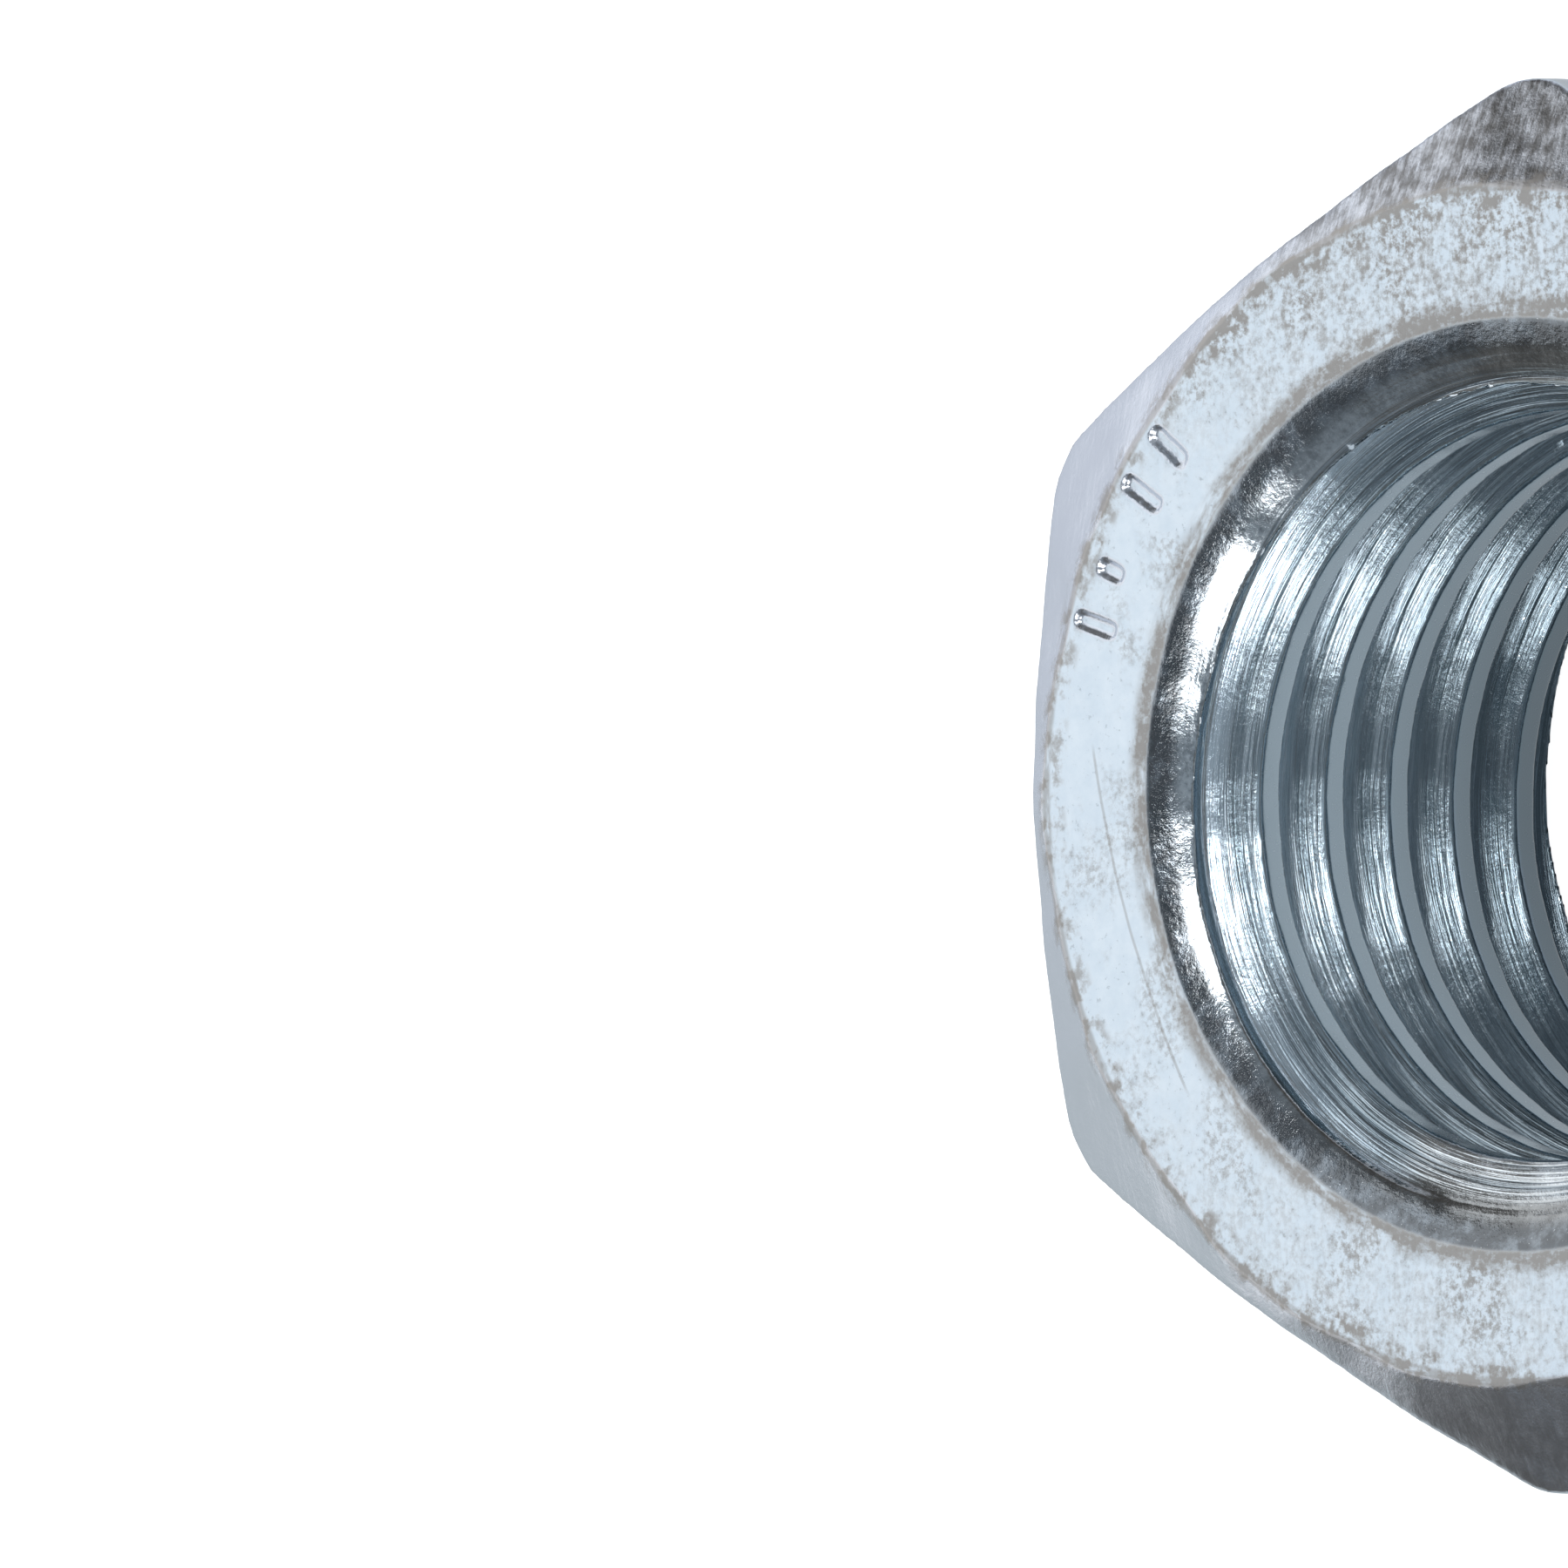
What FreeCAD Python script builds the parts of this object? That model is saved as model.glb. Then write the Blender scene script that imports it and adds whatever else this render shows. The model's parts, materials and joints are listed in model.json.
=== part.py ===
"""Hex nut, metric coarse thread, one solid steel piece.

Frame: millimetres, +Z up along the thread axis.  The origin is the centre of the lower
bearing face, so the nut rests on Z = 0.  Two corners point along +X and -X, and two of
the six flats face +Y and -Y.
"""
import FreeCAD, Part
import math
import os

import Sketcher

# name of the one piece, which is also its file and its node
NUT = "hex_nut"

# Driving dimensions in millimetres and degrees: alias, value, what it is.
DIMENSIONS = [
    ("across_flats", 35.2, "width across flats, made near the lower limit of size 36"),
    ("nut_height", 17.7, "overall height, bearing face to bearing face"),
    ("corner_radius", 2.2, "rounding of the six upright corners"),
    ("bearing_inset", 0.85, "edge of each round bearing face, in from the flats"),
    ("chamfer_angle", 28.0, "fall of the corner chamfers, from the bearing face"),
    ("thread_dia", 24.0, "major diameter of the thread"),
    ("thread_pitch", 3.0, "axial distance from crest to crest"),
    ("thread_depth", 1.5, "radial depth of the thread groove, root to crest"),
    ("flank_angle", 30.0, "half of the thread's included angle"),
    ("thread_start", 2.54, "first full crest's middle, below the top face on the +Y side"),
    ("mouth_margin", 1.05, "rim of each countersink, out from the thread's root"),
    ("mouth_angle", 60.0, "half of the countersink's included angle"),
    ("mark_depth", 0.2, "depth of the stamped marks in the top face"),
    ("mark_inset", 1.05, "middle of the marks, in from the edge of the bearing face"),
    ("mark_length", 1.5, "radial length of a long mark"),
    ("mark_width", 0.45, "width of every mark"),
]

# Stamped marks in the top face: direction from +X in degrees, length as a share of
# mark_length.  Plain bars of two lengths that spell nothing.
MARKS = [(50.0, 1.0), (56.0, 1.0), (65.0, 0.6), (71.0, 1.0)]

# Sizes that follow from the driving ones, as expressions.
BEARING_RADIUS = "(across_flats / 2 - bearing_inset)"
ROOT_RADIUS = "(thread_dia / 2)"
CREST_RADIUS = "(thread_dia / 2 - thread_depth)"
MOUTH_RADIUS = "(thread_dia / 2 + mouth_margin)"
MARK_RADIUS = f"({BEARING_RADIUS} - mark_inset)"

# how far the chamfer cut reaches past the corners it cuts
PAST = "2"


def add_sheet(doc):
    """Put the driving dimensions in a spreadsheet, one alias each."""
    sheet = doc.addObject("Spreadsheet::Sheet", "Sizes")
    for row, (alias, value, meaning) in enumerate(DIMENSIONS, start=1):
        sheet.set(f"A{row}", meaning)
        sheet.set(f"B{row}", str(value))
        sheet.setAlias(f"B{row}", alias)
    doc.recompute()
    return sheet


def origin_feature(body, role):
    """Find one of the body's own origin planes or axes by its role."""
    return next(item for item in body.Origin.OriginFeatures if item.Role == role)


def named(expression):
    """Point the alias words of an expression at the spreadsheet."""
    for alias, _, _ in DIMENSIONS:
        expression = expression.replace(alias, "Sizes." + alias)
    return expression


def add_sketch(body, name, role):
    """Make an empty sketch on one of the body's origin planes."""
    sketch = body.newObject("Sketcher::SketchObject", name)
    sketch.AttachmentSupport = [(origin_feature(body, role), "")]
    sketch.MapMode = "FlatFace"
    return sketch


def add_outline(sheet, sketch, corners):
    """Draw a closed outline of straight lines with every corner bound to the sheet.

    corners holds a pair of expressions for each corner, in the sketch's own X and Y.
    """
    spots = []
    for across, up in corners:
        x = float(sheet.evalExpression(named(across)))
        y = float(sheet.evalExpression(named(up)))
        spots.append(FreeCAD.Vector(x, y, 0))
    first = sketch.GeometryCount
    count = len(spots)
    for index, spot in enumerate(spots):
        sketch.addGeometry(Part.LineSegment(spot, spots[(index + 1) % count]), False)
    for index in range(count):
        following = first + (index + 1) % count
        sketch.addConstraint(Sketcher.Constraint("Coincident", first + index, 2, following, 1))
    for index, (across, up) in enumerate(corners):
        for kind, expression, value in (
            ("DistanceX", across, spots[index].x),
            ("DistanceY", up, spots[index].y),
        ):
            rule = Sketcher.Constraint(kind, -1, 1, first + index, 1, value)
            number = sketch.addConstraint(rule)
            sketch.setExpression(f"Constraints[{number}]", named(expression))


def add_blank(doc, sheet, body):
    """Hexagonal bar of the nut's height with rounded upright corners."""
    sketch = add_sketch(body, "HexOutline", "XY_Plane")
    half_corners = "across_flats / sqrt(3)"
    corners = []
    for turn in range(0, 360, 60):
        corners.append((f"{half_corners} * cos({turn})", f"{half_corners} * sin({turn})"))
    add_outline(sheet, sketch, corners)
    pad = body.newObject("PartDesign::Pad", "HexBar")
    pad.Profile = sketch
    pad.setExpression("Length", named("nut_height"))
    doc.recompute()
    upright = []
    for number, edge in enumerate(pad.Shape.Edges, start=1):
        if abs(edge.tangentAt(edge.FirstParameter).z) > 0.99:
            upright.append(f"Edge{number}")
    fillet = body.newObject("PartDesign::Fillet", "RoundCorners")
    fillet.Base = (pad, upright)
    fillet.setExpression("Radius", named("corner_radius"))
    return fillet


def add_turned_cut(sheet, body, name, outlines):
    """Turn closed outlines in the XZ plane about the Z axis and cut them away."""
    sketch = add_sketch(body, name + "Outline", "XZ_Plane")
    for corners in outlines:
        add_outline(sheet, sketch, corners)
    groove = body.newObject("PartDesign::Groove", name)
    groove.Profile = sketch
    groove.ReferenceAxis = (sketch, ["V_Axis"])
    groove.Angle = 360.0
    return groove


def add_chamfers(sheet, body):
    """Cone off the corners at both ends, which leaves the round bearing faces."""
    outer = f"across_flats / sqrt(3) + {PAST}"
    fall = f"({outer} - {BEARING_RADIUS}) * tan(chamfer_angle)"
    top = [
        (BEARING_RADIUS, "nut_height"),
        (outer, f"nut_height - {fall}"),
        (outer, "nut_height"),
    ]
    bottom = [(BEARING_RADIUS, "0"), (outer, "0"), (outer, fall)]
    return add_turned_cut(sheet, body, "CornerChamfers", [top, bottom])


def add_bore(sheet, body):
    """Bore through the crests, with a countersunk mouth at both ends."""
    sink = "(mouth_margin + thread_depth) / tan(mouth_angle)"
    outline = [
        ("0", "0"),
        (MOUTH_RADIUS, "0"),
        (CREST_RADIUS, sink),
        (CREST_RADIUS, f"nut_height - {sink}"),
        (MOUTH_RADIUS, "nut_height"),
        ("0", "nut_height"),
    ]
    return add_turned_cut(sheet, body, "BoreAndMouths", [outline])


def add_thread(sheet, body):
    """Cut one 60 degree groove along a right-hand helix through the whole bore.

    The groove has a flat root an eighth of the pitch wide.  Its outline sits in the XZ
    plane, a quarter turn before the +Y side, so it starts a quarter of a pitch lower.
    """
    sketch = add_sketch(body, "ThreadOutline", "XZ_Plane")
    reach = "thread_pitch / 10"
    inside = f"{CREST_RADIUS} - {reach}"
    half_root = "thread_pitch / 16"
    half_mouth = f"({half_root} + (thread_depth + {reach}) * tan(flank_angle))"
    turns_below = "(1.75 + ceil(nut_height / thread_pitch))"
    middle = f"(nut_height - thread_start - {turns_below} * thread_pitch)"
    add_outline(
        sheet,
        sketch,
        [
            (inside, f"{middle} - {half_mouth}"),
            (ROOT_RADIUS, f"{middle} - {half_root}"),
            (ROOT_RADIUS, f"{middle} + {half_root}"),
            (inside, f"{middle} + {half_mouth}"),
        ],
    )
    helix = body.newObject("PartDesign::SubtractiveHelix", "ThreadGroove")
    helix.Profile = sketch
    helix.ReferenceAxis = (sketch, ["V_Axis"])
    helix.Mode = "pitch-height-angle"
    helix.setExpression("Pitch", named("thread_pitch"))
    helix.setExpression("Height", named("(ceil(nut_height / thread_pitch) + 3) * thread_pitch"))
    helix.LeftHanded = False
    return helix


def add_marks(sheet, body):
    """Stamp short radial bars into the top face."""
    sketch = add_sketch(body, "MarkOutlines", "XY_Plane")
    sketch.setExpression(".AttachmentOffset.Base.z", named("nut_height"))
    for turn, share in MARKS:
        corners = []
        for along, side in ((-1, -1), (1, -1), (1, 1), (-1, 1)):
            reach = f"({MARK_RADIUS} + {along} * mark_length * {share} / 2)"
            shift = f"({side} * mark_width / 2)"
            across = f"{reach} * cos({turn}) - {shift} * sin({turn})"
            up = f"{reach} * sin({turn}) + {shift} * cos({turn})"
            corners.append((across, up))
        add_outline(sheet, sketch, corners)
    pocket = body.newObject("PartDesign::Pocket", "StampedMarks")
    pocket.Profile = sketch
    pocket.setExpression("Length", named("mark_depth"))
    return pocket


def add_nut(doc, sheet):
    """Build the nut and print how much metal each step leaves."""
    body = doc.addObject("PartDesign::Body", "HexNut")
    body.Label = NUT
    body.Placement = FreeCAD.Placement()
    steps = [add_blank(doc, sheet, body)]
    for make in (add_chamfers, add_bore, add_thread, add_marks):
        doc.recompute()
        before = body.Shape.Volume
        step = make(sheet, body)
        doc.recompute()
        steps.append(step)
        print(f"{step.Label}: volume {before:.1f} -> {body.Shape.Volume:.1f} mm3")
        if not body.Shape.Volume < before:
            raise RuntimeError(f"{step.Label} cuts nothing")
    return body


def check(doc, bodies):
    """Stop if anything in the document failed to build."""
    for item in doc.Objects:
        if "Invalid" in item.State or "Error" in item.State:
            raise RuntimeError(f"{item.Label} failed: {item.State}")
    for body in bodies:
        if body.Shape.isNull() or not body.Shape.isValid():
            raise RuntimeError(f"{body.Label} has no valid shape")
        if len(body.Shape.Solids) != 1:
            raise RuntimeError(f"{body.Label} is {len(body.Shape.Solids)} solids")


def main():
    doc = FreeCAD.newDocument("HexNutModel")
    sheet = add_sheet(doc)
    bodies = [add_nut(doc, sheet)]
    doc.recompute()
    check(doc, bodies)
    os.makedirs("parts", exist_ok=True)
    for body in bodies:
        body.Shape.exportStep(f"parts/{body.Label}.step")
        box = body.Shape.optimalBoundingBox()
        print(f"{body.Label}: {box.XLength:.2f} x {box.YLength:.2f} x {box.ZLength:.2f} mm")


main()
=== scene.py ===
import json
import math

import bpy
from mathutils import Matrix, Vector


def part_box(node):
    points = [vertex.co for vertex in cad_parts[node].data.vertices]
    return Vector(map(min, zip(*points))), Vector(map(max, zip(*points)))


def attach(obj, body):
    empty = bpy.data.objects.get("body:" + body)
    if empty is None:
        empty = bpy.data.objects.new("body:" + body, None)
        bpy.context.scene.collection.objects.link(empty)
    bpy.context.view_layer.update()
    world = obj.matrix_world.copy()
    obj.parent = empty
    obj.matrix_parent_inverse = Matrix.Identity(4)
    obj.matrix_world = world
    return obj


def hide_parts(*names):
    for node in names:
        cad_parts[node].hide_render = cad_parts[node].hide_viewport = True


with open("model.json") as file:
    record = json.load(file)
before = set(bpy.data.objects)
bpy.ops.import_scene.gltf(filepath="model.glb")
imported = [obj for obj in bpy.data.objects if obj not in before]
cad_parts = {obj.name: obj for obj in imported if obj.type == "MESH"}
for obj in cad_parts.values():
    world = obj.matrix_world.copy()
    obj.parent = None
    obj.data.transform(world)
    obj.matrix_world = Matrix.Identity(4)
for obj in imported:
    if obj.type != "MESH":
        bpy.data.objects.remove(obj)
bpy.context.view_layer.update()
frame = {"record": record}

MM = 0.001

# ---------------------------------------------------------------- sizes of the nut
NUT_NODE = "hex_nut"
node_low, node_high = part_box(NUT_NODE)
HEIGHT = node_high[2] - node_low[2]
FLATS = node_high[1] - node_low[1]
THREAD = next(m for m in frame["record"]["mounts"] if m["name"] == "thread")
CREST_RADIUS = THREAD["dims"]["r_mm"] * MM
THREAD_DEPTH = 1.5 * MM
ROOT_RADIUS = CREST_RADIUS + THREAD_DEPTH
PITCH = 3.0 * MM
FLANK_ANGLE = math.radians(30.0)
# middle of the first full crest, below the top face on the +Y side
FIRST_CREST = 2.54 * MM
MOUTH_RADIUS = ROOT_RADIUS + 1.05 * MM
MOUTH_ANGLE = math.radians(60.0)
BEARING_RADIUS = FLATS / 2 - 0.85 * MM
CHAMFER_ANGLE = math.radians(28.0)
CORNER_ROUND = 2.2 * MM

CORNER_RADIUS = FLATS / math.sqrt(3)
SINK = (MOUTH_RADIUS - CREST_RADIUS) / math.tan(MOUTH_ANGLE)
# each mouth has a narrow outer lip that falls less steeply than the cone inside it
LIP_WIDTH = 0.65 * MM
LIP_SLOPE = math.tan(math.radians(24.0))
LIP_SINK = LIP_WIDTH * LIP_SLOPE
CONE_SLOPE = (SINK - LIP_SINK) / (MOUTH_RADIUS - LIP_WIDTH - CREST_RADIUS)
# stamped bars: where each lies, in degrees from +X, and its share of the full length
MARKS = [(50.0, 1.0), (56.0, 1.0), (65.0, 0.6), (71.0, 1.0)]
MARK_RADIUS = BEARING_RADIUS - 1.05 * MM
MARK_LENGTH = 1.5 * MM
MARK_WIDTH = 0.45 * MM
MARK_DEPTH = 0.2 * MM
# how deep the forged skin dips, about how wide its dips are and how far its edges stray
UNEVEN = 0.09 * MM
LUMP_WIDTH = 2.2 * MM
EDGE_WANDER = 0.09 * MM
# how far a cutting tool reaches past what it cuts
PAST = 2.0 * MM
ROUND_STEPS = 256
VOXEL = 0.09 * MM
SMOOTH_PASSES = 8
MOST_TRIANGLES = 190000


# ---------------------------------------------------------------- modelling helpers
def edit(piece):
    """Open one piece in edit mode with nothing selected."""
    bpy.ops.object.select_all(action="DESELECT")
    bpy.context.view_layer.objects.active = piece
    piece.select_set(True)
    bpy.ops.object.mode_set(mode="EDIT")
    bpy.ops.mesh.select_all(action="DESELECT")


def leave():
    """Close edit mode."""
    bpy.ops.object.mode_set(mode="OBJECT")


def pick(piece, kind, test):
    """Select the faces or edges of an edited piece that pass a test."""
    bpy.ops.mesh.select_mode(type={"faces": "FACE", "edges": "EDGE"}[kind])
    bpy.ops.mesh.select_all(action="DESELECT")
    leave()
    items = {"faces": piece.data.polygons, "edges": piece.data.edges}[kind]
    for item in items:
        item.select = test(item)
    bpy.ops.object.mode_set(mode="EDIT")


def settle(piece):
    """Move a piece's place, turn and size into its mesh."""
    bpy.ops.object.select_all(action="DESELECT")
    bpy.context.view_layer.objects.active = piece
    piece.select_set(True)
    bpy.ops.object.transform_apply(location=True, rotation=True, scale=True)


def apply(piece, kind, **settings):
    """Add one modifier, set it and apply it."""
    bpy.ops.object.select_all(action="DESELECT")
    bpy.context.view_layer.objects.active = piece
    piece.select_set(True)
    modifier = piece.modifiers.new(kind.lower(), kind)
    for name, value in settings.items():
        setattr(modifier, name, value)
    bpy.ops.object.modifier_apply(modifier=modifier.name)


def combine(piece, tool, operation):
    """Cut a piece with a tool, or keep what they share, and drop the tool."""
    apply(piece, "BOOLEAN", object=tool, operation=operation, solver="EXACT")
    bpy.data.objects.remove(tool)


def cylinder(name, steps, radius, low, high, turn=0.0):
    """A closed upright cylinder from one height to another."""
    bpy.ops.object.select_all(action="DESELECT")
    bpy.ops.mesh.primitive_cylinder_add(
        vertices=steps,
        radius=radius,
        depth=high - low,
        location=(0, 0, (low + high) / 2),
        rotation=(0, 0, turn),
    )
    piece = bpy.context.object
    piece.name = name
    settle(piece)
    return piece


def taper_end(piece, top, rise, share):
    """Extrude the top or bottom cap outwards and resize it."""
    sign = 1 if top else -1
    pick(piece, "faces", lambda f: f.normal.z * sign > 0.99)
    bpy.ops.mesh.extrude_region_move(TRANSFORM_OT_translate={"value": (0, 0, sign * rise)})
    bpy.ops.transform.resize(value=(share, share, 1))


def wander(piece, radius, amount):
    """Let a ring of corners at one radius stray in and out, as forged edges do."""
    for corner in piece.data.vertices:
        x, y, z = corner.co
        if abs(math.hypot(x, y) - radius) < MM / 100:
            way = math.atan2(y, x) + z / HEIGHT
            waves = math.sin(5 * way + 1) + math.sin(13 * way) + math.sin(29 * way + 2) / 2
            share = 1 + amount * waves / (2 * radius)
            corner.co = (x * share, y * share, z)


# ---------------------------------------------------------------- the nut
def hex_bar():
    """Hexagonal bar with corners on X and rounded upright edges."""
    bar = cylinder("nut", 6, CORNER_RADIUS, 0, HEIGHT, math.pi / 6)
    edit(bar)
    spots = bar.data.vertices
    rises = [spots[e.vertices[0]].co.z - spots[e.vertices[1]].co.z for e in bar.data.edges]
    pick(bar, "edges", lambda e: abs(rises[e.index]) > MM / 100)
    bpy.ops.mesh.bevel(offset=CORNER_ROUND * math.tan(math.pi / 6), segments=8)
    leave()
    return bar


def turned_blank():
    """Round body whose coned ends give the corner chamfers and bearing faces."""
    outer = CORNER_RADIUS + PAST
    fall = (outer - BEARING_RADIUS) * math.tan(CHAMFER_ANGLE)
    blank = cylinder("turned_blank", ROUND_STEPS, outer, fall, HEIGHT - fall)
    edit(blank)
    for top in (True, False):
        taper_end(blank, top, fall, BEARING_RADIUS / outer)
    leave()
    wander(blank, BEARING_RADIUS, 2 * EDGE_WANDER)
    return blank


def bore_cutter():
    """Plug of the bore, with a cone and a less steep lip for each mouth."""
    lip_radius = MOUTH_RADIUS - LIP_WIDTH
    past_radius = MOUTH_RADIUS + PAST / LIP_SLOPE
    plug = cylinder("bore_cutter", ROUND_STEPS, CREST_RADIUS, SINK, HEIGHT - SINK)
    edit(plug)
    for top in (True, False):
        taper_end(plug, top, SINK - LIP_SINK, lip_radius / CREST_RADIUS)
        taper_end(plug, top, LIP_SINK + PAST, past_radius / lip_radius)
    leave()
    wander(plug, lip_radius, EDGE_WANDER)
    wander(plug, past_radius, EDGE_WANDER)
    return plug


def thread_cutter():
    """Helical bar of the groove's section, which runs out past both ends."""
    reach = PITCH / 10
    half_root = PITCH / 16
    half_mouth = half_root + (THREAD_DEPTH + reach) * math.tan(FLANK_ANGLE)
    turns = math.ceil(HEIGHT / PITCH)
    # starts well below the nut at +X: a quarter turn before +Y, and half a pitch off a crest
    middle = HEIGHT - FIRST_CREST - (turns + 1.75) * PITCH
    bpy.ops.object.select_all(action="DESELECT")
    bpy.ops.mesh.primitive_plane_add(size=1, location=(0, 0, 0))
    cutter = bpy.context.object
    cutter.name = "thread_cutter"
    for corner in cutter.data.vertices:
        outside = corner.co.x > 0
        side = 1 if corner.co.y > 0 else -1
        across = ROOT_RADIUS if outside else CREST_RADIUS - reach
        half = half_root if outside else half_mouth
        corner.co = (across, 0, middle + side * half)
    edit(cutter)
    bpy.ops.mesh.select_mode(type="FACE")
    bpy.ops.mesh.select_all(action="SELECT")
    bpy.ops.mesh.delete(type="ONLY_FACE")
    leave()
    apply(
        cutter,
        "SCREW",
        axis="Z",
        angle=2 * math.pi,
        screw_offset=PITCH,
        iterations=turns + 3,
        steps=ROUND_STEPS,
        render_steps=ROUND_STEPS,
        use_merge_vertices=True,
        merge_threshold=1e-7,
    )
    edit(cutter)
    bpy.ops.mesh.select_mode(type="EDGE")
    bpy.ops.mesh.select_non_manifold()
    bpy.ops.mesh.edge_face_add()
    bpy.ops.mesh.select_all(action="SELECT")
    bpy.ops.mesh.normals_make_consistent(inside=False)
    leave()
    return cutter


def mark_cutter(turn, share):
    """Block that stamps one radial bar into the top face."""
    way = math.radians(turn)
    bpy.ops.object.select_all(action="DESELECT")
    bpy.ops.mesh.primitive_cube_add(
        size=1,
        location=(MARK_RADIUS * math.cos(way), MARK_RADIUS * math.sin(way), HEIGHT),
        rotation=(0, 0, way),
        scale=(MARK_LENGTH * share, MARK_WIDTH, 2 * MARK_DEPTH),
    )
    block = bpy.context.object
    block.name = "mark_cutter"
    settle(block)
    return block


def make_nut():
    """Hexagonal bar, turned, bored, tapped and stamped."""
    nut = hex_bar()
    combine(nut, turned_blank(), "INTERSECT")
    combine(nut, bore_cutter(), "DIFFERENCE")
    combine(nut, thread_cutter(), "DIFFERENCE")
    for turn, share in MARKS:
        combine(nut, mark_cutter(turn, share), "DIFFERENCE")
    return nut


def soften(piece):
    """Turn the crisp solid into one even skin, a little uneven and round at the edges."""
    apply(piece, "REMESH", mode="VOXEL", voxel_size=VOXEL)
    apply(piece, "SMOOTH", factor=0.5, iterations=SMOOTH_PASSES)
    lumps = bpy.data.textures.new("forged_lumps", "CLOUDS")
    lumps.noise_scale = LUMP_WIDTH
    apply(piece, "DISPLACE", texture=lumps, texture_coords="LOCAL", strength=UNEVEN, mid_level=1.0)
    share = MOST_TRIANGLES / (2 * len(piece.data.polygons))
    apply(piece, "DECIMATE", decimate_type="COLLAPSE", ratio=min(share, 1.0))
    edit(piece)
    bpy.ops.mesh.select_all(action="SELECT")
    bpy.ops.mesh.faces_shade_smooth()
    leave()


# ---------------------------------------------------------------- shader expressions
class Field:
    """One socket of a material, which takes part in sums as a number does."""

    def __init__(self, tree, socket=None):
        self.tree = tree
        self.socket = socket

    def node(self, kind, inputs, out=0, **settings):
        """Add a node, set it up, feed its sockets and give back one output."""
        node = self.tree.nodes.new(kind)
        for name, value in settings.items():
            setattr(node, name, value)
        for name, value in inputs.items():
            self.feed(node.inputs[name], value)
        return Field(self.tree, node.outputs[out])

    def feed(self, socket, value):
        """Link a field to a socket, or set the socket to a plain value."""
        if isinstance(value, Field):
            self.tree.links.new(value.socket, socket)
        else:
            socket.default_value = value

    def sum(self, operation, *others):
        """Any operation of the Math node on this field and others."""
        inputs = dict(enumerate((self,) + others))
        return self.node("ShaderNodeMath", inputs, operation=operation)

    def __add__(self, other):
        return self.sum("ADD", other)

    def __sub__(self, other):
        return self.sum("SUBTRACT", other)

    def __rsub__(self, other):
        return (self * -1.0).sum("ADD", other)

    def __mul__(self, other):
        return self.sum("MULTIPLY", other)

    def __truediv__(self, other):
        return self.sum("DIVIDE", other)

    __radd__ = __add__
    __rmul__ = __mul__

    def above(self, low, high):
        """0 below low, 1 above high, with a soft step between."""
        inputs = {"Value": self, "From Min": low, "From Max": high}
        return self.node("ShaderNodeMapRange", inputs, interpolation_type="SMOOTHSTEP")

    def between(self, low, high, soft):
        """1 from low to high, 0 outside, with soft steps of a given width."""
        return self.above(low - soft, low) * (1 - self.above(high, high + soft))

    def noise(self, scale, detail=3.0, roughness=0.5, distortion=0.0):
        """Noise at the place that this vector field gives."""
        inputs = {
            "Vector": self,
            "Scale": scale,
            "Detail": detail,
            "Roughness": roughness,
            "Distortion": distortion,
        }
        return self.node("ShaderNodeTexNoise", inputs)

    def mix(self, first, second):
        """Blend two colours by this field."""
        inputs = {0: self, 6: first, 7: second}
        return self.node("ShaderNodeMix", inputs, out=2, data_type="RGBA")

    def join(self, y, z):
        """Vector of this field and two more."""
        return self.node("ShaderNodeCombineXYZ", {"X": self, "Y": y, "Z": z})


def blank_material(name):
    """New material and its main shader."""
    material = bpy.data.materials.new(name)
    material.use_nodes = True
    return material, material.node_tree.nodes["Principled BSDF"]


class NutPlace:
    """Where a point of the nut lies, in millimetres, and which zone it is in."""

    def __init__(self, start):
        place = start.node("ShaderNodeTexCoord", {}, out="Object")
        self.point = start.node("ShaderNodeMapping", {"Vector": place, "Scale": (1 / MM,) * 3})
        self.x = start.node("ShaderNodeSeparateXYZ", {"Vector": self.point}, out=0)
        self.y = start.node("ShaderNodeSeparateXYZ", {"Vector": self.point}, out=1)
        self.z = start.node("ShaderNodeSeparateXYZ", {"Vector": self.point}, out=2)
        self.radius = (self.x * self.x + self.y * self.y).sum("SQRT")
        self.depth = HEIGHT / MM - self.z
        self.end = self.z.sum("MINIMUM", self.depth)
        facing = start.node("ShaderNodeNewGeometry", {}, out="Normal")
        rise = start.node("ShaderNodeSeparateXYZ", {"Vector": facing}, out=2)
        upright = rise.sum("ABSOLUTE")

        mouth = MOUTH_RADIUS / MM
        crest = CREST_RADIUS / MM
        root = ROOT_RADIUS / MM
        self.outer = self.radius.above(mouth - 0.05, mouth + 0.12)
        self.bore = 1 - self.outer
        self.face = self.outer * upright.above(0.95, 0.985)
        self.chamfer = self.outer * upright.above(0.4, 0.75) * (1 - self.face)
        inwards = mouth - self.radius
        cone_sink = (inwards - LIP_WIDTH / MM) * CONE_SLOPE + LIP_SINK / MM
        sink = (inwards * LIP_SLOPE).sum("MAXIMUM", cone_sink)
        self.cone = self.bore * (1 - (self.end - sink).sum("ABSOLUTE").above(0.09, 0.2))
        self.land = self.bore * (1 - self.radius.above(crest + 0.1, crest + 0.2)) * (1 - self.cone)
        self.groove = self.bore - self.cone - self.land
        self.lip = self.cone * self.radius.above(mouth - 1.0, mouth - 0.5)
        # root of the groove, which gets painted light
        self.root = self.radius.above(root - 0.8, root - 0.1)
        self.turned = 1 - self.radius.above(crest + 1.0, crest + 1.4)
        # sides of the bore that face down, which get painted light
        self.under = self.bore * (rise * -1.0).above(0.2, 0.6)

    def corners(self, plus_limits, plus_share, minus_limits, minus_share):
        """Mask that grows towards the +X and -X corners, with limits and a share for each."""
        plus = self.x.above(*plus_limits) * plus_share
        return plus + (self.x * -1.0).above(*minus_limits) * minus_share

    def swirl(self, across, along, detail=3.0, roughness=0.6):
        """Noise in rings about the axis: its fineness across them and along them."""
        side = self.x / self.radius * along
        front = self.y / self.radius * along
        return (self.radius * across).join(side, front).noise(1.0, detail, roughness)


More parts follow.
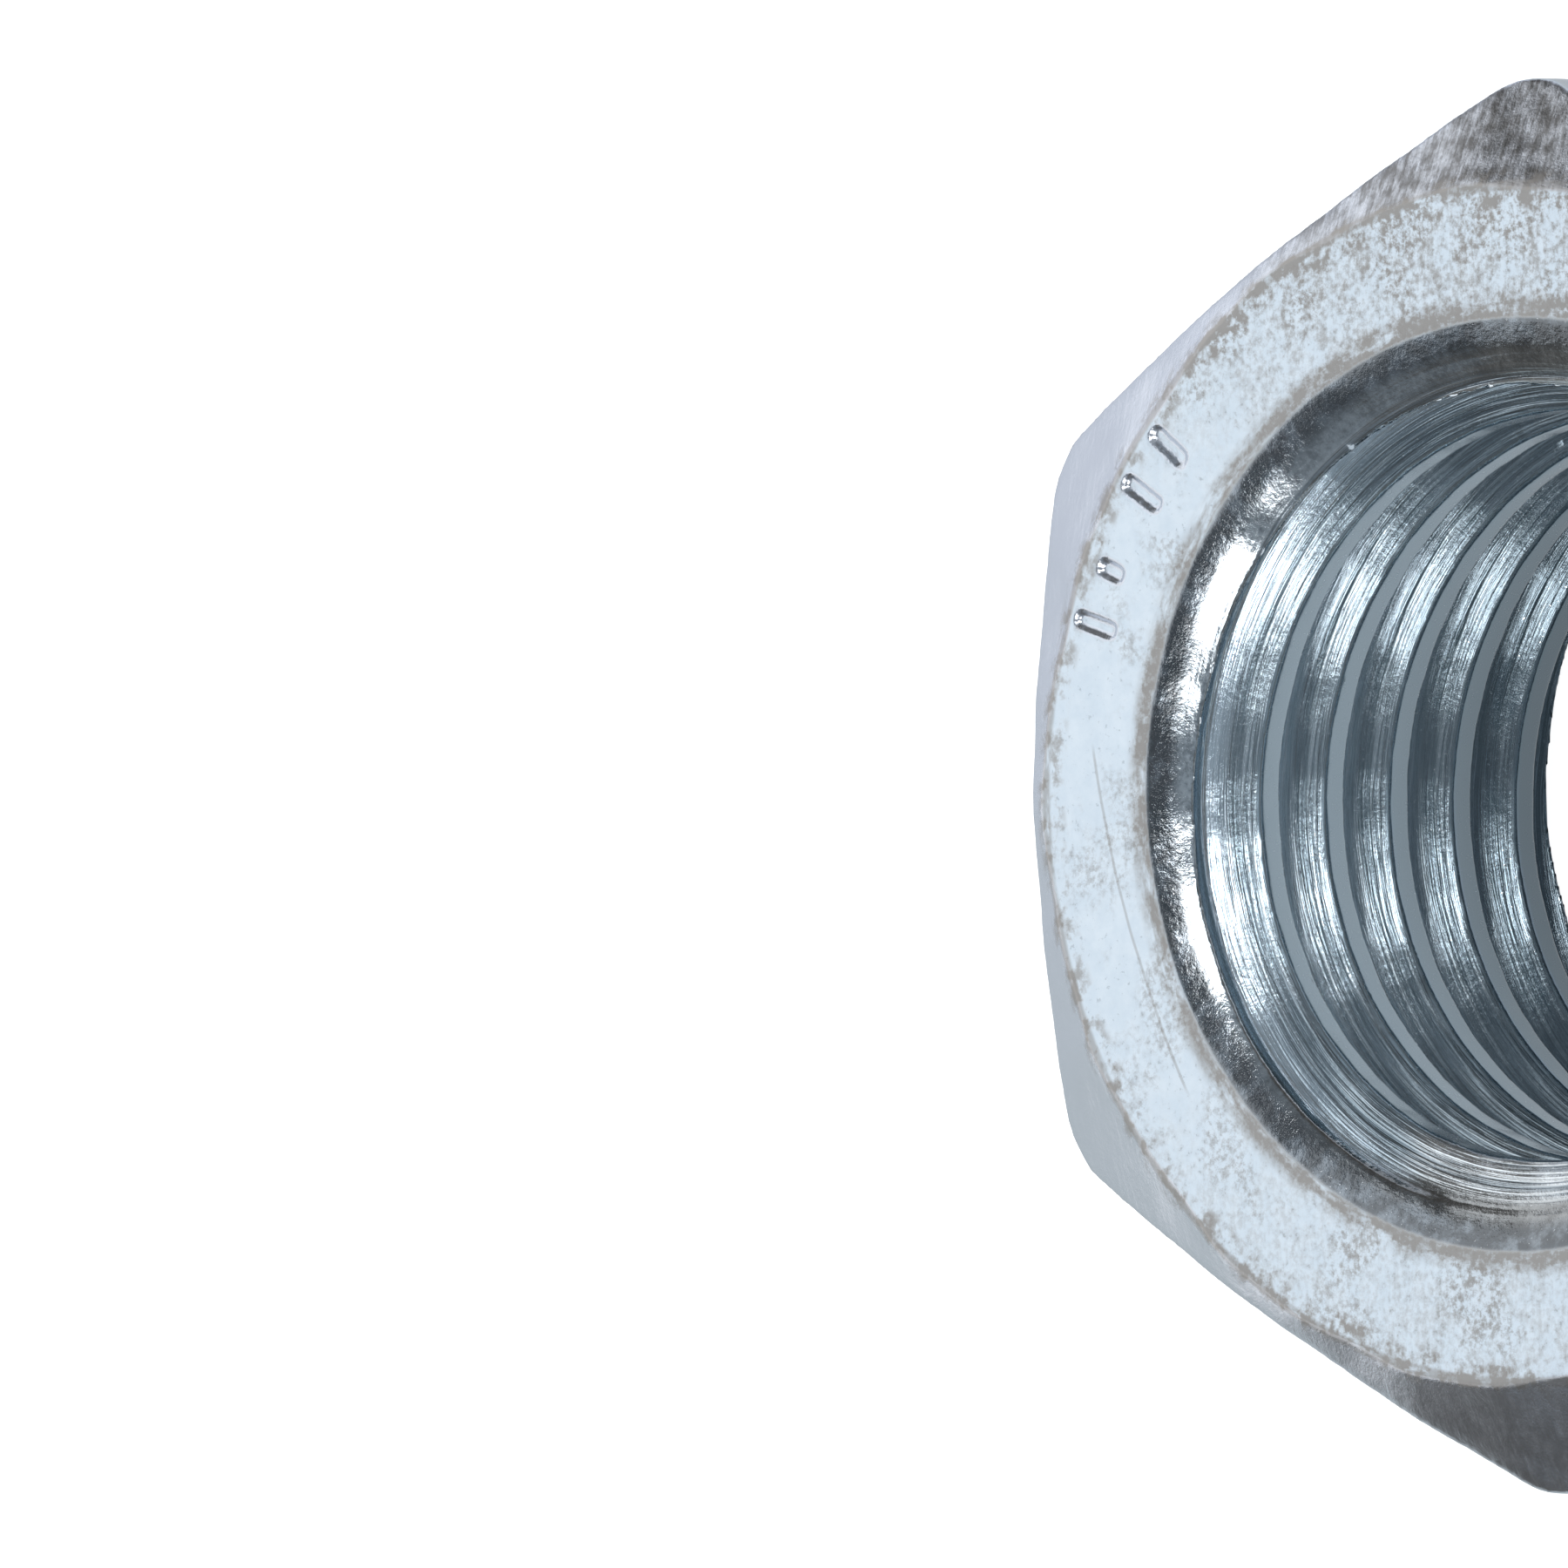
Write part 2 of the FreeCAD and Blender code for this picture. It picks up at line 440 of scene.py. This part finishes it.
class Noises:
    """The noises that the colour, the film, the height and the roughness are made of."""

    def __init__(self, nut):
        self.cloud = nut.point.noise(0.35, 4.0, 0.6)
        self.patch = nut.point.noise(1.3, 5.0, 0.65)
        self.speck = nut.point.noise(5.0, 4.0, 0.7)
        self.grain = nut.point.noise(12.0, 3.0, 0.6)
        stretched = (nut.x * 1.1).join(nut.y * 5.5, nut.z * 0.6)
        self.strokes = stretched.noise(1.0, 4.0, 0.65, 0.4)
        self.lines = nut.swirl(6.5, 1.2, 3.0, 0.65)
        self.fine = nut.swirl(15.0, 2.5, 2.0, 0.6)
        self.ridges = nut.swirl(3.0, 1.2, 2.0, 0.5)
        self.pits = nut.point.noise(4.5, 4.0, 0.7)


# colours of the zinc, zone by zone, of what lies on it, and of the painted light and shade
FACE_DULL = (0.63, 0.705, 0.77, 1)
FACE_CLEAR = (0.69, 0.755, 0.81, 1)
CHAMFER_ZINC = (0.62, 0.65, 0.705, 1)
SMUT_AND_PAINTED_SHADE = (0.14, 0.135, 0.13, 1)
LIP_DARK = (0.16, 0.17, 0.18, 1)
LIP_PALE = (0.29, 0.32, 0.35, 1)
CONE_DARK = (0.40, 0.44, 0.47, 1)
CONE_PALE = (0.72, 0.78, 0.82, 1)
CONE_X_END_DARK = (0.20, 0.19, 0.18, 1)
TURNED_DARK = (0.36, 0.41, 0.45, 1)
TURNED_PALE = (0.80, 0.85, 0.88, 1)
GROOVE_DARK = (0.28, 0.345, 0.39, 1)
GROOVE_PALE = (0.49, 0.57, 0.62, 1)
GROOVE_STREAK = (0.14, 0.18, 0.21, 1)
ROOT_PAINTED_LIGHT = (0.66, 0.77, 0.85, 1)
UNDERSIDE_PAINTED_LIGHT = (0.8, 0.88, 0.93, 1)
LAND_ZINC = (0.43, 0.535, 0.61, 1)
DEEP_PAINTED_SHADE = (0.13, 0.165, 0.19, 1)
PAINTED_GLINT = (0.85, 0.88, 0.9, 1)
DOT = (0.33, 0.37, 0.40, 1)
BROWN = (0.34, 0.32, 0.30, 1)


def cone_colour(nut, noises):
    """Mottled countersink, darker towards both X ends and streaked next to the thread."""
    mottle = (noises.patch * 0.5 + noises.speck * 0.5).above(0.38, 0.62)
    # darker towards both X ends
    x_end_darkening = nut.corners((5.0, 10.0), 0.3, (5.0, 10.0), 0.65)
    cone = x_end_darkening.mix(mottle.mix(CONE_DARK, CONE_PALE), CONE_X_END_DARK)
    turned = noises.lines.above(0.40, 0.6).mix(TURNED_DARK, TURNED_PALE)
    return nut.turned.mix(cone, turned)


def groove_colour(nut, noises):
    """Streaked flanks, with painted light at the root and on the sides that face down."""
    groove = noises.lines.above(0.38, 0.64).mix(GROOVE_DARK, GROOVE_PALE)
    groove = (noises.fine.above(0.44, 0.56) * 0.55).mix(groove, GROOVE_STREAK)
    # painted light: the root, which lies in the groove's shade, is made paler
    groove = nut.root.mix(groove, ROOT_PAINTED_LIGHT)
    # painted light on the sides of the bore that face down
    return nut.under.mix(groove, UNDERSIDE_PAINTED_LIGHT)


def chamfer_colour(nut, noises):
    """Blue-grey zinc with smut and painted shade near the corners on X."""
    near_corner = nut.corners((13.5, 17.0), 0.9, (15.5, 18.5), 0.35)
    # partly smut patches, partly painted shade at the corners on X
    smut_and_painted_shade = near_corner * (noises.patch * 0.6 + noises.strokes * 0.4).above(0.34, 0.6)
    return smut_and_painted_shade.mix(CHAMFER_ZINC, SMUT_AND_PAINTED_SHADE)


def zinc_colour(nut, noises, film):
    """Blue-white outside, with painted shade that darkens it down the bore, painted glints in the
    bore, and the brown film on top.
    """
    face = noises.patch.above(0.3, 0.7).mix(FACE_DULL, FACE_CLEAR)
    colour = nut.chamfer.mix(face, chamfer_colour(nut, noises))
    colour = nut.bore.mix(colour, groove_colour(nut, noises))
    colour = nut.cone.mix(colour, cone_colour(nut, noises))
    colour = nut.lip.mix(colour, noises.patch.above(0.42, 0.66).mix(LIP_DARK, LIP_PALE))
    colour = nut.land.mix(colour, LAND_ZINC)
    # painted shade: the bore's colour darkens with depth below the top face
    painted_depth_shade = nut.bore * nut.depth.above(2.0, 17.0) * 0.85
    colour = painted_depth_shade.mix(colour, DEEP_PAINTED_SHADE)
    # painted glints: bright specks in the bore's colour, except on the lands
    painted_glints = nut.bore * (1 - nut.land) * noises.grain.above(0.66, 0.72) * 0.5
    colour = painted_glints.mix(colour, PAINTED_GLINT)
    dots = nut.face * noises.speck.above(0.61, 0.68) * 0.45
    colour = dots.mix(colour, DOT)
    return film.mix(colour, BROWN)


def brown_film(nut, noises):
    """Thin brown film at both rims of the bearing face and in scuffs near the corners."""
    mouth = MOUTH_RADIUS / MM
    bearing = BEARING_RADIUS / MM
    wavy = nut.swirl(2.2, 9.0, 4.0, 0.65)
    mottle = (noises.strokes + noises.speck * 2 + noises.grain) / 2 - 0.1
    inner = nut.radius.between(mouth - 0.1, mouth + 0.25, 0.6) * wavy.above(0.28, 0.58) * mottle
    outer = nut.radius.between(bearing - 0.05, bearing + 0.1, 0.15) * wavy.above(0.3, 0.5) * 0.6
    wide = nut.radius.between(bearing - 0.4, bearing + 0.2, 0.4)
    wide = wide * noises.patch.above(0.46, 0.64) * 0.7
    near_corner = nut.corners((8.0, 15.0), 0.8, (7.0, 14.0), 0.4)
    scuff = noises.strokes * 0.2 + noises.speck * 0.5 + noises.patch * 0.3
    scuff = near_corner * scuff.above(0.42, 0.62)
    blot = noises.cloud.above(0.48, 0.62) * noises.speck.above(0.42, 0.62) * 0.4
    film = nut.outer * (inner + outer + wide) + nut.face * (scuff + blot + scratch(nut) * 0.4)
    return film.sum("MINIMUM", 0.9)


# the scratch: middle and radius of its arc, and its ends along X, in millimetres
SCRATCH_MIDDLE = (5.9, -15.7)
SCRATCH_RADIUS = 31.0
SCRATCH_ENDS = (-8.0, 1.2)


def scratch(nut):
    """One long fine scratch, an arc across the bearing face on its +Y side."""
    across = nut.x - SCRATCH_MIDDLE[0]
    along = nut.y - SCRATCH_MIDDLE[1]
    gap = ((across * across + along * along).sum("SQRT") - SCRATCH_RADIUS).sum("ABSOLUTE")
    line = 1 - gap.above(0.02, 0.07)
    return line * nut.x.between(*SCRATCH_ENDS, 0.6) * nut.y.above(0, 1)


def zinc_height(nut, noises):
    """Height of the skin in millimetres: forged outside, pitted mouths, tool lines in the thread."""
    # each noise is taken about its middle value, so that it neither lifts nor sinks a zone
    patch, speck, grain = noises.patch - 0.5, noises.speck - 0.5, noises.grain - 0.5
    lines, ridges, fine = noises.lines - 0.5, noises.ridges - 0.5, noises.fine - 0.5
    face = patch * 0.02 + speck * 0.008 + grain * 0.002
    chamfer = speck * 0.008 + grain * 0.004 + (noises.strokes - 0.5) * 0.008
    turned = ridges * 0.03 + lines * 0.03 * nut.turned
    cone = (noises.pits - 0.5) * (0.010 + nut.lip * 0.010) + turned * (1 - nut.lip)
    groove = ridges * 0.05 + lines * 0.045 + fine * 0.014 + speck * 0.012
    outside = face * nut.face + chamfer * (1 - nut.face - nut.bore)
    return outside + cone * nut.cone + groove * nut.groove + lines * 0.002 * nut.land


def zinc_roughness(nut, noises, film):
    """Satin outside, glossier where the metal was turned and tapped."""
    outside = 0.34 + nut.face * 0.11 - nut.chamfer * 0.12 + film * 0.12
    inside = nut.cone * 0.2 + nut.groove * 0.14 + nut.land * 0.08
    return outside - inside + (noises.speck - 0.5) * 0.1


def zinc_steel():
    """Bright zinc plating on forged and tapped steel."""
    material, shader = blank_material("zinc_plated_steel")
    start = Field(material.node_tree)
    nut = NutPlace(start)
    noises = Noises(nut)
    film = brown_film(nut, noises)
    start.feed(shader.inputs["Base Color"], zinc_colour(nut, noises, film))
    start.feed(shader.inputs["Roughness"], zinc_roughness(nut, noises, film))
    shader.inputs["Metallic"].default_value = 1.0
    inputs = {"Strength": 1.0, "Distance": MM, "Height": zinc_height(nut, noises)}
    start.feed(shader.inputs["Normal"], start.node("ShaderNodeBump", inputs))
    return material


def make_finished_nut():
    """The nut with its skin and finish, in place of the CAD node."""
    nut = make_nut()
    soften(nut)
    nut.data.materials.clear()
    nut.data.materials.append(zinc_steel())
    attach(nut, "root")
    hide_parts(NUT_NODE)


make_finished_nut()


# ---------------------------------------------------------------- floor, lights, camera
scene = bpy.context.scene

GROUND = (0.60, 0.61, 0.62, 1)
HORIZON_MINUS = (0.60, 0.655, 0.67, 1)
HORIZON_PLUS = (0.76, 0.80, 0.88, 1)
WALLS = (0.13, 0.125, 0.12, 1)
CEILING = (0.24, 0.275, 0.31, 1)
FLOOR_GLOW = 0.95


def add_floor():
    """Pale glowing table top, which the metal doesn't mirror."""
    bpy.ops.object.select_all(action="DESELECT")
    bpy.ops.mesh.primitive_plane_add(size=6, location=(0, 0, 0))
    floor = bpy.context.object
    floor.name = "floor"
    material, shader = blank_material("floor_paper")
    shader.inputs["Base Color"].default_value = (0.5, 0.5, 0.5, 1)
    shader.inputs["Roughness"].default_value = 0.95
    shader.inputs["Specular IOR Level"].default_value = 0.1
    shader.inputs["Emission Color"].default_value = (1, 1, 1, 1)
    shader.inputs["Emission Strength"].default_value = FLOOR_GLOW
    floor.data.materials.append(material)
    floor.visible_glossy = False


def add_world():
    """Pale horizon, brighter on the +X side, under dark walls and a dim ceiling."""
    world = bpy.data.worlds.new("studio")
    scene.world = world
    world.use_nodes = True
    start = Field(world.node_tree)
    way = start.node("ShaderNodeTexCoord", {}, out="Generated")
    rise = start.node("ShaderNodeSeparateXYZ", {"Vector": way}, out=2)
    side = start.node("ShaderNodeSeparateXYZ", {"Vector": way}, out=0)
    horizon = side.above(-0.3, 0.3).mix(HORIZON_MINUS, HORIZON_PLUS)
    colour = rise.above(-0.70, -0.35).mix(GROUND, horizon)
    colour = rise.above(0.05, 0.3).mix(colour, WALLS)
    colour = rise.above(0.42, 0.7).mix(colour, CEILING)
    start.feed(world.node_tree.nodes["Background"].inputs["Color"], colour)


def add_softbox(name, direction, distance, width, depth, brightness, tint=(1, 1, 1)):
    """A flat light that faces the nut, level along X, of a given brightness per area."""
    data = bpy.data.lights.new(name, "AREA")
    data.shape = "RECTANGLE"
    data.size = width
    data.size_y = depth
    data.energy = math.pi * width * depth * brightness
    data.color = tint
    light = bpy.data.objects.new(name, data)
    scene.collection.objects.link(light)
    away = Vector(direction).normalized()
    along = (Vector((1, 0, 0)) - away * away.x).normalized()
    turn = Matrix((along, away.cross(along), away)).transposed().to_4x4()
    place = away * distance + Vector((0, 0, HEIGHT))
    light.matrix_world = Matrix.Translation(place) @ turn
    light.visible_camera = False


add_floor()
add_world()
scene.view_settings.view_transform = "Standard"
# the panel lights the faces, and each box gives one highlight on the mouth and the flanks
add_softbox(
    "back_panel",
    direction=(0.14, 0.755, 0.656),
    distance=1.2,
    width=1.92,
    depth=1.56,
    brightness=1.0,
    tint=(0.97, 0.985, 1.0),
)
add_softbox(
    "left_box",
    direction=(-0.41, -0.265, 0.86),
    distance=0.9,
    width=0.235,
    depth=0.28,
    brightness=8.0,
)
add_softbox(
    "right_box",
    direction=(0.35, -0.33, 0.87),
    distance=0.9,
    width=0.195,
    depth=0.28,
    brightness=11.0,
)


CAMERA_TILT = math.radians(40.35)
CAMERA_LEAN = math.radians(-0.79)
CAMERA_TURN = math.radians(178.43)
# middle of the top face as the camera sees it: right of its axis, below it and away
TOP_FACE_SEEN = Vector((20.30, 0, 390.0)) * MM


def camera_axes():
    """Turn from the camera's right, down and away to the nut's X, Y and Z."""
    swing = Matrix.Rotation(CAMERA_LEAN, 3, "X") @ Matrix.Rotation(CAMERA_TILT, 3, "Y")
    x_axis = swing @ Vector((-math.sin(CAMERA_TURN), math.cos(CAMERA_TURN), 0))
    y_axis = swing @ Vector((math.cos(CAMERA_TURN), math.sin(CAMERA_TURN), 0))
    z_axis = swing @ Vector((0, 0, -1))
    return Matrix((x_axis, y_axis, z_axis))


def add_camera():
    """Long lens that looks at the top face and into the bore."""
    seen = camera_axes()
    data = bpy.data.cameras.new("camera")
    data.lens = 320
    data.sensor_width = 36
    data.clip_start = 0.01
    camera = bpy.data.objects.new("camera", data)
    scene.collection.objects.link(camera)
    right = seen @ Vector((1, 0, 0))
    up = seen @ Vector((0, -1, 0))
    back = seen @ Vector((0, 0, -1))
    place = Vector((0, 0, HEIGHT)) - seen @ TOP_FACE_SEEN
    turn = Matrix((right, up, back)).transposed().to_4x4()
    camera.matrix_world = Matrix.Translation(place) @ turn
    scene.camera = camera


add_camera()
